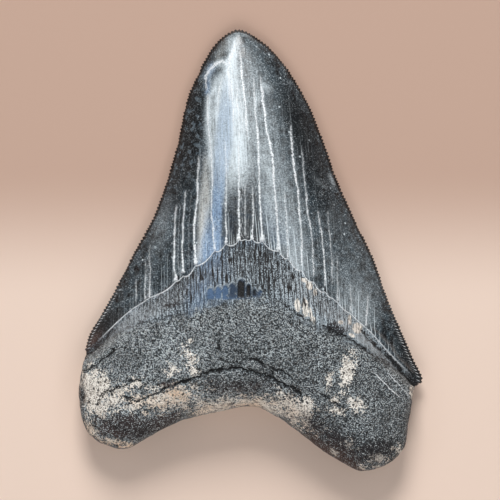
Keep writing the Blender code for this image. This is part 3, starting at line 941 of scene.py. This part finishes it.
# Fields, each worked out from those before it, down to the shares of the coats.
STEPS = (
    # The neck's height, and the crown's clouds, bands and their ragged edges.
    ("share_least", "MAXIMUM", "neck_share", 0.001),
    ("neck_span", "DIVIDE", "below", "share_least"),
    ("mottle", "RANGE", "medium", 0.38, 0.62),
    ("worked", "MULTIPLY", ("brush", 0.32, 0.68, 0.68, 1.28), ("medium", 0.3, 0.7, 0.82, 1.15)),
    ("pale_rest", "SUBTRACT", 1.0, "pale"),
    ("pale_speck", "MULTIPLY", "pale", "pale_rest", ("fine", 0.3, 0.7, -0.9, 0.9)),
    ("pale_sum", "ADD", "pale", "pale_speck"),
    ("pale_on", "MULTIPLY", "pale_sum", "worked"),
    ("blue_on", "MULTIPLY", "blue", "worked"),
    ("cream_on", "MULTIPLY", "cream", "worked"),
    ("dark_sum", "ADD", "dark", ("medium", 0.3, 0.7, -0.45, 0.35)),
    ("dark_on", "RANGE", "dark_sum", 0.15, 0.75, 0.0, 0.96),
    # Its grains, stain, blotches, hairs, slits and dots.
    ("sand", "MULTIPLY", ("grit", 0.56, 0.72, 0.0, 0.42), ("medium", 0.38, 0.62, 0.2, 1.0),
     ("dark", 0.1, 0.8, 1.0, 0.45)),
    ("silt", "MULTIPLY", ("grit", 0.44, 0.3, 0.0, 0.5), ("pale", 0.7, 0.1, 0.4, 1.0)),
    ("stain_on", "MULTIPLY", "warm", 0.45),
    ("blotch_on", "MULTIPLY", ("blotch", 0.54, 0.59, 0.0, 0.85), "dark", ("across", 2.0, -8.0),
     ("along", 4.0, 16.0)),
    ("inner", "RANGE", "depth", 2.0, 7.0),
    ("hair_on", "MULTIPLY", ("hair", 0.6, 0.68, 0.0, 0.16), "inner"),
    ("slit_on", "MULTIPLY", ("brush", 0.4, 0.3, 0.0, 0.35), "inner"),
    ("tassel_high", "MULTIPLY", "tassel_pick", "tassel_pick", 12.0),
    ("tassel_left", "ADD", "tassel_high", "below"),
    ("tassel_on", "MULTIPLY", ("tassel_left", 0.0, 2.5), ("tassel_gap", 0.2, 0.07, 0.0, 0.75),
     ("across", -8.0, 8.0, 0.35, 1.0), "inner"),
    ("dot_on", "MULTIPLY", ("dot_gap", 0.13, 0.06), ("dot_pick", 0.45, 0.75, 0.0, 0.8)),
    # Its growth cracks waver and swell, with a faint halo.
    ("wavy", "ADD", "offset", ("fine", 0.25, 0.75, -0.26, 0.26), ("wave", 0.25, 0.75, -0.22, 0.22)),
    ("reach", "ABSOLUTE", "wavy"),
    ("line_half", "MULTIPLY", "width", ("blotch", 0.35, 0.65, 0.6, 1.7)),
    ("line_core", "MULTIPLY", "line_half", 0.7),
    ("line_on", "MULTIPLY", ("reach", "line_half", "line_core"), "light",
     ("grit", 0.3, 0.5, 0.4, 1.0)),
    ("halo_on", "MULTIPLY", ("reach", 0.7, 0.2, 0.0, 0.16), "light"),
    # Its edge: painted glints on the ribs, painted shade in the notches and a dark line along them.
    ("rib_on", "MULTIPLY", ("rib", 0.12, 0.38), ("fine", 0.35, 0.6, 0.5, 1.0)),
    ("notch_on", "RANGE", "rib", -0.05, -0.5, 0.0, 0.8),
    ("edge_on", "MULTIPLY", ("depth", 0.55, 0.3, 0.0, 0.85), ("along", -16.0, -5.0, 0.35, 1.0)),
    # The neck's comb is lighter at both sides and darker under the crown.
    ("neck_side", "MULTIPLY", ("neck_span", 11.0, 6.0, 0.0, 0.9), ("neck_span", 1.5, 4.0)),
    ("neck_lift", "MAXIMUM", "neck_side", ("across", 5.0, 13.0, 0.0, 1.3)),
    ("groove_soft", "MULTIPLY", "groove", 0.5),
    ("comb_sum", "ADD", ("comb", 0.3, 0.7, -1.0, 1.0), "groove_soft",
     ("grit", 0.3, 0.7, -1.5, 1.5), "neck_lift", ("neck_share", 0.1, 0.55, -0.4, 0.0)),
    ("comb_tone", "RANGE", "comb_sum", -1.0, 1.5),
    # Its slots with their pale lips, its slits, flakes and scars.
    ("slots_where", "MULTIPLY", ("neck_share", 1.05, 0.6, 0.25, 1.0),
     ("neck_span", 6.0, 11.0, 0.4, 1.0)),
    ("slots_on", "MULTIPLY", ("slots", 0.44, 0.38), "slots_where"),
    ("lip_on", "MULTIPLY", ("slots", 0.44, 0.47), ("slots", 0.53, 0.48, 0.0, 0.45)),
    ("slit_far", "ADD", "slit_gap", ("fine", 0.25, 0.75, -0.07, 0.07)),
    ("crevice", "MULTIPLY", ("slit_far", 0.17, 0.07), "slots_where",
     ("comb", 0.42, 0.52, 0.3, 1.0)),
    ("tint", "MULTIPLY", "blue", 0.6),
    ("flake_sum", "ADD", "flake", ("fine", 0.3, 0.7, -0.14, 0.14)),
    ("flake_on", "RANGE", "flake_sum", 0.48, 0.6),
    ("flake_slit", "MULTIPLY", ("comb", 0.46, 0.36, 0.0, 0.85), "flake_on"),
    ("chip_rim_on", "MULTIPLY", "chip_rim", 0.85),
    # The root's grain, a little darker to the right and down, its tinge and its pits.
    ("grain_fine", "MULTIPLY", "fine", 0.7),
    ("grain_pair", "ADD", "grain_fine", "grit"),
    ("grain_wide", "MULTIPLY", "blotch", 0.35),
    ("grain_sum", "ADD", "grain_pair", "grain_wide", ("across", -20.0, 25.0, 0.02, -0.02),
     ("along", -40.0, -54.0, 0.0, -0.03)),
    ("grains", "RANGE", "grain_sum", 0.81, 1.27),
    ("tinge", "RANGE", "broad", 0.42, 0.66, 0.0, 0.45),
    ("warm_grain", "RANGE", "fine", 0.5, 0.66, 0.0, 0.4),
    ("pit_low", "RANGE", "pit", -0.15, -0.6, 0.0, 0.55),
    # Its ragged patches: bone with a loam ground, soot with painted shade at the blade corners, and
    # rust with painted shade along the outline.
    ("ragged", "ADD", ("medium", 0.3, 0.7, -0.5, 0.4), ("fine", 0.3, 0.7, -0.45, 0.4)),
    ("bone_sum", "ADD", "bone", "ragged"),
    ("bone_raw", "MULTIPLY", ("bone_sum", 0.42, 0.58), ("bone", 0.04, 0.25), ("soot", 0.85, 0.4)),
    ("mottle_floor", "RANGE", "depth", 1.0, 4.5, 0.1, 0.6),
    ("bone_on", "MULTIPLY", "bone_raw", ("blotch", 0.38, 0.48, "mottle_floor", 1.0),
     ("grain_pair", 0.68, 0.82)),
    ("peach", "MULTIPLY", "warm", ("broad", 0.4, 0.6), "bone_on"),
    ("soot_ragged", "MULTIPLY", "ragged", 0.6),
    ("soot_sum", "ADD", "soot", "soot_ragged"),
    ("soot_on", "MULTIPLY", ("soot_sum", 0.25, 0.5), ("grain_sum", 1.24, 1.1)),
    ("rusty_on", "MULTIPLY", "warm", "soot_on", 0.4),
    # Rust stain and painted shade along the root's outline, where its surface turns down.
    ("basal_on", "MULTIPLY", ("depth", 0.7, 0.2), ("fine", 0.44, 0.6, 0.0, 0.4)),
    # Its cracks, which are jagged and swell. Pale veins are the ones with a share below 0.
    ("jag_sum", "ADD", ("blotch", 0.25, 0.75, -0.7, 0.7), ("fine", 0.25, 0.75, -0.5, 0.5)),
    ("jag", "MULTIPLY", "jag_sum", ("open", -0.5, 0.1, 0.2, 1.0)),
    ("crack_at", "ADD", "gap", "jag"),
    ("crack_far", "ABSOLUTE", "crack_at"),
    ("crack_half", "MULTIPLY", "half", ("fine", 0.3, 0.7, 0.6, 1.7)),
    ("crack_core", "MULTIPLY", "crack_half", 0.7),
    ("crack_sign", "MULTIPLY", ("crack_far", "crack_half", "crack_core"), "open"),
    ("crack_on", "RANGE", "crack_sign", 0.05, 0.6),
    ("vein_on", "RANGE", "crack_sign", -0.05, -0.6),
    # Where the tissues meet, the white rim along the enamel's end, and the painted shade of the fold
    # and the corner recesses.
    ("edge", "ADD", "below", ("fine", 0.25, 0.75, -0.2, 0.2)),
    ("off_crown", "RANGE", "edge", -0.1, 0.2),
    ("neck_frayed", "ADD", "neck_share", ("medium", 0.25, 0.75, -0.2, 0.2)),
    ("past_neck", "RANGE", "neck_frayed", 0.92, 1.08),
    ("on_neck", "SUBTRACT", 1.0, "past_neck"),
    ("rim_far", "ABSOLUTE", "edge"),
    ("rim_on", "MULTIPLY", ("rim_far", 0.32, 0.12), ("fine", 0.34, 0.5, 0.4, 1.0),
     ("neck_span", 0.9, 2.2), "lingual"),
    ("grime_on", "MULTIPLY", "grime", 0.7),
    # Roughness of the crown and of the rest, how much the grain stands out, and its height.
    ("sheen", "RANGE", "medium", 0.3, 0.7, 0.24, 0.42),
    ("matt", "RANGE", "past_neck", 0.0, 1.0, 0.55, 0.85),
    ("stand", "RANGE", "off_crown", 0.0, 1.0, 0.1, 1.0),
    ("pore_here", "MULTIPLY", ("pore_gap", 0.3, 0.18), ("pore_pick", 0.2, 0.35, 0.0, 0.9),
     "past_neck"),
    ("slots_here", "MULTIPLY", "slots_on", -0.8, "on_neck"),
    ("height", "ADD", "grains", "slots_here"),
)

# Tones of the neck's comb and of the root's grain: the field they follow, then place and colour.
RAMPS = {
    "comb_tones": ("comb_tone", ((0.16, "neck_dark"), (0.5, "neck"), (0.84, "neck_pale"))),
    "grain_tones": ("grains", ((0.14, "root_dark"), (0.5, "root"), (0.86, "root_pale"))),
}

# Each tissue's own colour, then the coats over it from the lowest up: share and colour. The last
# two put the tissues together.
COATS = {
    "crown_tissue": ("enamel", (
        ("mottle", "enamel_mid"), ("pale_on", "enamel_pale"), ("cream_on", "enamel_cream"),
        ("blue_on", "enamel_blue"), ("dark_on", "enamel"), ("stain_on", "rust"),
        ("blotch_on", "neck"), ("silt", "enamel"), ("sand", "enamel_pale"), ("slit_on", "enamel"),
        ("hair_on", "enamel_pale"), ("halo_on", "enamel_pale"), ("tassel_on", "enamel_pale"),
        ("dot_on", "enamel_pale"), ("line_on", "crack_fill"), ("edge_on", "recess"),
        ("rib_on", "crack_fill"), ("notch_on", "recess"))),
    "neck_tissue": ("comb_tones", (
        ("lip_on", "neck_pale"), ("tint", "enamel_blue"), ("flake_on", "bone"),
        ("flake_slit", "neck_dark"), ("slots_on", "recess"), ("crevice", "recess"),
        ("chip", "chip_blue"), ("black", "recess"), ("chip_rim_on", "neck_pale"))),
    "root_tissue": ("grain_tones", (
        ("tinge", "root_dark"), ("warm_grain", "loam"), ("pit_low", "root_dark"))),
    "below_crown": ("neck_tissue", (
        ("past_neck", "root_tissue"), ("soot_on", "soot"), ("rusty_on", "rust"),
        ("bone_raw", "loam"), ("bone_on", "bone"), ("peach", "peach"), ("pore_here", "recess"),
        ("basal_on", "rust"), ("grime_on", "recess"), ("vein_on", "crack_fill"),
        ("crack_on", "recess"))),
    "whole": ("crown_tissue", (("off_crown", "below_crown"), ("rim_on", "crack_fill"))),
}
ENAMEL_IOR = 1.52


def add(tree, kind, inputs, out=0, **settings):
    """Adds a node, sets it, fills or links its inputs, and returns one output."""
    node = tree.nodes.new("ShaderNode" + kind)
    for name, value in settings.items():
        if name == "stops":
            while len(node.color_ramp.elements) < len(value):
                node.color_ramp.elements.new(0.5)
            for element, (place, colour) in zip(node.color_ramp.elements, value):
                element.position = place
                element.color = colour
        else:
            setattr(node, name, value)
    for socket, value in inputs.items():
        if isinstance(value, bpy.types.NodeSocket):
            tree.links.new(value, node.inputs[socket])
        else:
            node.inputs[socket].default_value = value
    return node.outputs[out]


# Sockets of a Mix node that mixes colours, and those of one that mixes numbers.
SHARE, UNDER, OVER, MIXED = 0, 6, 7, 2
LESS, MORE = 2, 3


def field(tree, known, value):
    """A value of STEPS: a number, the name of a field, or a range in brackets.

    A range is a field, its low and high ends, and what they become."""
    if isinstance(value, tuple):
        return add(tree, "MapRange", {at: field(tree, known, part) for at, part in enumerate(value)})
    return known[value] if isinstance(value, str) else value


def steps(tree, known):
    """Works down STEPS: a name, then a range, or an operation that takes in its values in turn."""
    for name, kind, *values in STEPS:
        if kind == "RANGE":
            known[name] = field(tree, known, tuple(values))
            continue
        made, *rest = (field(tree, known, value) for value in values)
        for value in rest or [0.0]:
            made = add(tree, "Math", {0: made, 1: value}, operation=kind)
        known[name] = made


def fossil_finish(colours, sizes):
    """Fossil tooth: phosphatised enamel over dentine, and a mineral-stained root.

    The enamel is dense and still polished, so it reads dark and glossy with white hairline growth
    cracks; the neck is thin grooved tissue, and the root is dull, porous and speckled."""
    made = bpy.data.materials.new("phosphatised_enamel_and_root")
    made.use_nodes = True
    tree = made.node_tree
    shader = tree.nodes["Principled BSDF"]

    known, vectors = {}, {}
    for name, parts in FIELDS.items():
        vectors[name] = add(tree, "Attribute", {}, 1, attribute_name=name)
        known.update(zip(parts, add(tree, "SeparateXYZ", {0: vectors[name]}).node.outputs))
    # Object coordinates are metres; every pattern is sized in millimetres.
    place = add(tree, "TexCoord", {}, "Object")
    place = add(tree, "VectorMath", {0: place, "Scale": 1.0 / MM}, operation="SCALE")
    for name, (flows, across, along_it, detail, rough) in NOISES.items():
        scale = (1.0 / across, 1.0 / along_it, 0.0 if flows else 1.0 / along_it)
        at = add(tree, "VectorMath", {0: vectors["flow"] if flows else place, 1: scale},
                 operation="MULTIPLY")
        known[name] = add(tree, "TexNoise", {"Vector": at, "Scale": 1.0, "Detail": detail,
                                             "Roughness": rough})
    for name, (flows, spacing) in CELLS.items():
        at = {"W": known["across"]} if flows else {"Vector": place}
        cells = add(tree, "TexVoronoi", {**at, "Scale": 1.0 / spacing},
                    voronoi_dimensions="1D" if flows else "3D").node
        known[name + "_gap"] = cells.outputs["Distance"]
        known[name + "_pick"] = add(tree, "SeparateColor", {0: cells.outputs["Color"]})
    known["slit_gap"] = add(tree, "TexVoronoi", {"W": known["across"], "Scale": SLITS_PER_MM},
                            "Distance", voronoi_dimensions="1D", feature="DISTANCE_TO_EDGE")
    steps(tree, known)

    looks = dict(colours)
    for name, (share, stops) in RAMPS.items():
        looks[name] = add(tree, "ValToRGB", {0: known[share]},
                          stops=[(at, colours[tone]) for at, tone in stops])
    for name, (ground, coats) in COATS.items():
        looks[name] = looks[ground]
        for share, over in coats:
            coat = {SHARE: known[share], UNDER: looks[name], OVER: looks[over]}
            looks[name] = add(tree, "Mix", coat, MIXED, data_type="RGBA")
    tree.links.new(looks["whole"], shader.inputs["Base Color"])

    gloss = {SHARE: known["off_crown"], LESS: known["sheen"], MORE: known["matt"]}
    tree.links.new(add(tree, "Mix", gloss), shader.inputs["Roughness"])
    bump = add(tree, "Bump", {"Strength": known["stand"], "Distance": sizes["grain"] * MM,
                              "Height": known["height"]})
    tree.links.new(bump, shader.inputs["Normal"])
    shader.inputs["IOR"].default_value = ENAMEL_IOR
    return made


# ---------------------------------------------------------------- the add-on

def length(name, description, default):
    return FloatProperty(name=name, description=description, default=default * MM, min=0.0,
                         unit="LENGTH", precision=5)


def colour(name, description, code):
    return FloatVectorProperty(name=name, description=description, default=linear(code), size=4,
                               subtype="COLOR", min=0.0, max=1.0)


class ToothSizes(bpy.types.PropertyGroup):
    pitch: length("Serration pitch", "Distance between neighbouring serrations", 0.94)
    bite: length("Serration depth", "From the tips to the notches of the serrations", 0.85)
    rib: length("Serration ribs", "Height of the ribs that run in from the serrations", 0.10)
    enamel: length("Enamel step", "How far the enamel stands over the neck band", 0.30)
    groove: length("Neck grooves", "Height of the ridges of the neck band", 0.13)
    pit: length("Root pits", "Depth of the pits of the root", 0.15)
    crack: length("Root cracks", "Depth of the cracks of the root", 0.50)
    grain: length("Root grain", "Height of the finest grain of the root", 0.20)


class ToothColours(bpy.types.PropertyGroup):
    enamel: colour("Enamel", "Darkest enamel", "0B1013")
    enamel_mid: colour("Enamel, mottled", "Lighter clouds of the enamel", "33434C")
    # The pale, blue and cream bands of the crown are partly the enamel's own colour and partly a
    # painted reflection of the soft lights.
    enamel_pale: colour("Enamel, pale", "Bleached bands and hairlines", "E2EEF3")
    enamel_blue: colour("Enamel, blue", "Bluish core of the bands", "8CA8C8")
    enamel_cream: colour("Enamel, cream", "Cream bands", "D4D6D2")
    # Also the painted glints on the serration ribs.
    crack_fill: colour("Crack filling", "Mineral in the growth cracks", "F4F8FA")
    neck_dark: colour("Neck grooves", "Bottoms of the grooves", "151B1F")
    neck: colour("Neck", "Neck band", "65737C")
    neck_pale: colour("Neck ridges", "Tops of the ridges", "B9C5CC")
    chip_blue: colour("Chips, blue", "Bluish flake scars", "526F91")
    # Also the painted shade of the fold, the corner recesses and the serration notches.
    recess: colour("Recess", "Cracks and hollows", "08090B")
    root_dark: colour("Root, dark", "Dark grains", "1C2225")
    root: colour("Root", "Main colour of the root", "737C81")
    root_pale: colour("Root, pale", "Pale grains", "CDD6D8")
    bone: colour("Bone", "Cream patches", "FFFAF0")
    peach: colour("Peach", "Stained parts of the cream patches", "F2D3B4")
    # Dark stains, and painted shade under the blade's corners.
    soot: colour("Soot", "Dark patches", "201F23")
    loam: colour("Loam", "Ground and pores of the cream patches", "82776C")
    # Also painted along the root's outline as shade, together with the stain.
    rust: colour("Rust", "Iron stain along the basal edge", "6E4F44")


def values(group):
    return {name: getattr(group, name) for name in group.__annotations__}


class TOOTH_OT_tooth(bpy.types.Operator):
    """Build the fossil tooth with its crown, neck band and root"""

    bl_idname = "tooth.tooth"
    bl_label = "Tooth"

    def execute(self, context):
        scene = context.scene
        sizes = {name: value / MM for name, value in values(scene.tooth_sizes).items()}
        colours = {name: tuple(value) for name, value in values(scene.tooth_colours).items()}
        mesh = tooth_mesh(sizes)
        mesh.materials.append(fossil_finish(colours, sizes))
        piece = bpy.data.objects.new("fossil_tooth", mesh)
        scene.collection.objects.link(piece)
        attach(piece, "root")
        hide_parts(NODE)
        return {"FINISHED"}


# ---------------------------------------------------------------- the stage

FLOOR_WIDE = 3.0
# The floor card's tones at the far and near ends of its soft change, and where that lies in mm.
FLOOR_FAR, FLOOR_NEAR = "C1A290", "EAD2C1"
FLOOR_CHANGE = (24.0, -16.0)
CARD_ROUGHNESS = 0.9
# The camera looks straight down from this high, and this many mm of the floor fill its picture.
CAMERA_HEIGHT = 2.0
FRAME_MM = 142.5
SENSOR = 36.0
CLIP = (0.01, 10.0)
WORLD_LIGHT, WORLD_CODE = 0.155, "FAFAFF"

# Soft lights: name, place, size across and along, watts and colour. All point at the tooth.
LIGHTS = (
    ("key", (-0.06, 1.0, 0.9), (0.55, 0.55), 14.9, "FFFFFF"),
    ("fill", (0.0, -0.75, 0.95), (1.3, 0.8), 6.2, "FFFFFF"),
    ("left_strip", (-0.58, 0.2, 0.75), (0.14, 0.9), 0.5, "EAF1FF"),
    ("right_strip", (0.5, 0.15, 0.8), (0.14, 0.9), 0.6, "F2F6FF"),
)


class TOOTH_OT_stage(bpy.types.Operator):
    """Lay the floor and set the lights and the camera"""

    bl_idname = "tooth.stage"
    bl_label = "Stage"

    def execute(self, context):
        scene = context.scene
        bpy.ops.mesh.primitive_plane_add(size=FLOOR_WIDE, location=(0.0, 0.0, 0.0))
        floor = context.object
        floor.name = "floor"
        floor.data.materials.append(floor_finish())
        for light in LIGHTS:
            scene.collection.objects.link(soft_light(*light))
        world = bpy.data.worlds.new("studio")
        world.use_nodes = True
        backdrop = world.node_tree.nodes["Background"]
        backdrop.inputs["Color"].default_value = linear(WORLD_CODE)
        backdrop.inputs["Strength"].default_value = WORLD_LIGHT
        scene.world = world
        camera = bpy.data.cameras.new("camera")
        camera.sensor_width = SENSOR
        camera.lens = SENSOR * CAMERA_HEIGHT / (FRAME_MM * MM)
        camera.clip_start, camera.clip_end = CLIP
        scene.camera = bpy.data.objects.new("camera", camera)
        scene.camera.location = (0.0, 0.0, CAMERA_HEIGHT)
        scene.collection.objects.link(scene.camera)
        scene.view_settings.view_transform = "Standard"
        return {"FINISHED"}


def soft_light(name, place, size, power, code):
    """A rectangular lamp that points at the tooth. Its X axis is level across the tooth."""
    lamp = bpy.data.lights.new(name, "AREA")
    lamp.shape = "RECTANGLE"
    lamp.size, lamp.size_y = size
    lamp.energy = power
    lamp.color = linear(code)[:3]
    holder = bpy.data.objects.new(name, lamp)
    holder.location = place
    back = Vector(place).normalized()
    side = Vector((0.0, 1.0, 0.0)).cross(back).normalized()
    holder.rotation_euler = Matrix((side, back.cross(side), back)).transposed().to_euler()
    return holder


def floor_finish():
    """Matt card: no gloss, and one soft change from a deeper to a lighter tone."""
    made = bpy.data.materials.new("matt_card")
    made.use_nodes = True
    tree = made.node_tree
    level = add(tree, "SeparateXYZ", {0: add(tree, "TexCoord", {}, "Object")}, 1)
    far, near = (limit * MM for limit in FLOOR_CHANGE)
    share = add(tree, "MapRange", {0: level, 1: far, 2: near}, interpolation_type="SMOOTHSTEP")
    tone = add(tree, "Mix", {SHARE: share, UNDER: linear(FLOOR_FAR), OVER: linear(FLOOR_NEAR)},
               MIXED, data_type="RGBA")
    shader = tree.nodes["Principled BSDF"]
    tree.links.new(tone, shader.inputs["Base Color"])
    shader.inputs["Roughness"].default_value = CARD_ROUGHNESS
    return made


class TOOTH_PT_panel(bpy.types.Panel):
    """Sidebar panel that lists the pieces, their sizes and their colours"""

    bl_idname = "TOOTH_PT_panel"
    bl_label = "Fossil Tooth"
    bl_space_type = "VIEW_3D"
    bl_region_type = "UI"
    bl_category = "Tooth"

    def draw(self, context):
        for operator in OPERATORS:
            self.layout.operator(operator.bl_idname)
        for group in (context.scene.tooth_sizes, context.scene.tooth_colours):
            column = self.layout.column()
            for name in group.__annotations__:
                column.prop(group, name)


OPERATORS = (TOOTH_OT_tooth, TOOTH_OT_stage)
CLASSES = (ToothSizes, ToothColours, *OPERATORS, TOOTH_PT_panel)


def register():
    for kind in CLASSES:
        bpy.utils.register_class(kind)
    bpy.types.Scene.tooth_sizes = PointerProperty(type=ToothSizes)
    bpy.types.Scene.tooth_colours = PointerProperty(type=ToothColours)


def unregister():
    del bpy.types.Scene.tooth_colours
    del bpy.types.Scene.tooth_sizes
    for kind in reversed(CLASSES):
        bpy.utils.unregister_class(kind)


def main():
    register()
    bpy.ops.tooth.tooth()
    bpy.ops.tooth.stage()


if __name__ == "__main__":
    main()
